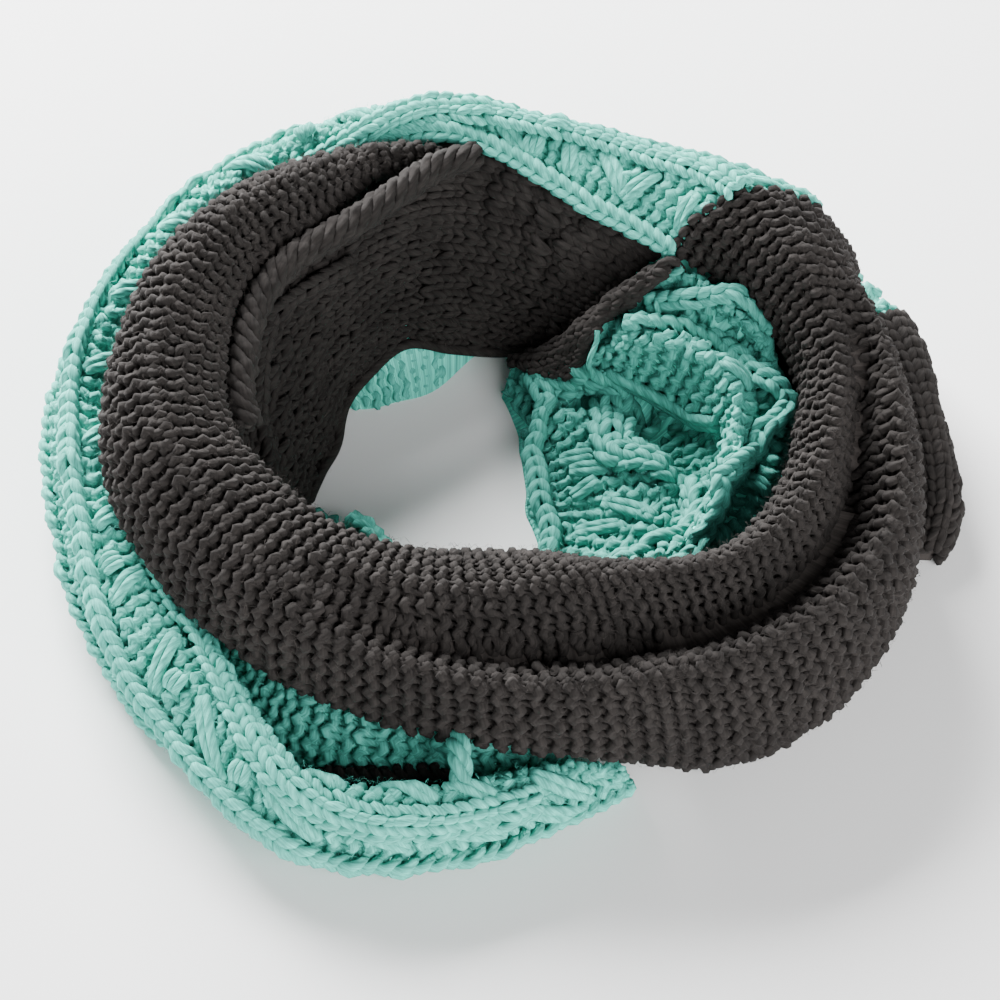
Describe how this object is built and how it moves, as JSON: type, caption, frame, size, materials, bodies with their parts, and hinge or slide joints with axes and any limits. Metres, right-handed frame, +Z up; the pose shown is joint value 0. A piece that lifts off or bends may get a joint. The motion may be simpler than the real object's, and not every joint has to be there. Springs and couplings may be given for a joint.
{
  "type": "infinity scarf",
  "caption": "Chunky knitted loop scarf of two colours, wound in two turns and lying flat in a ring.",
  "frame": {"origin": "middle of the scarf's box, on the surface that it lies on", "axes": "+Z up from the surface, -Y towards the side seen nearest in the picture, +X to its right"},
  "size_m": [0.3586, 0.3365, 0.0974],
  "materials": {
    "charcoal_yarn": "matt woollen yarn",
    "mint_yarn": "matt woollen yarn"
  },
  "bodies": {
    "root": {"charcoal_turn": "charcoal_yarn", "charcoal_edge_curl": "charcoal_yarn", "charcoal_inner_wall": "charcoal_yarn", "charcoal_outer_edge": "charcoal_yarn", "mint_under_seam": "mint_yarn", "mint_inner_turn": "mint_yarn", "mint_turn": "mint_yarn"}
  },
  "joints": []
}
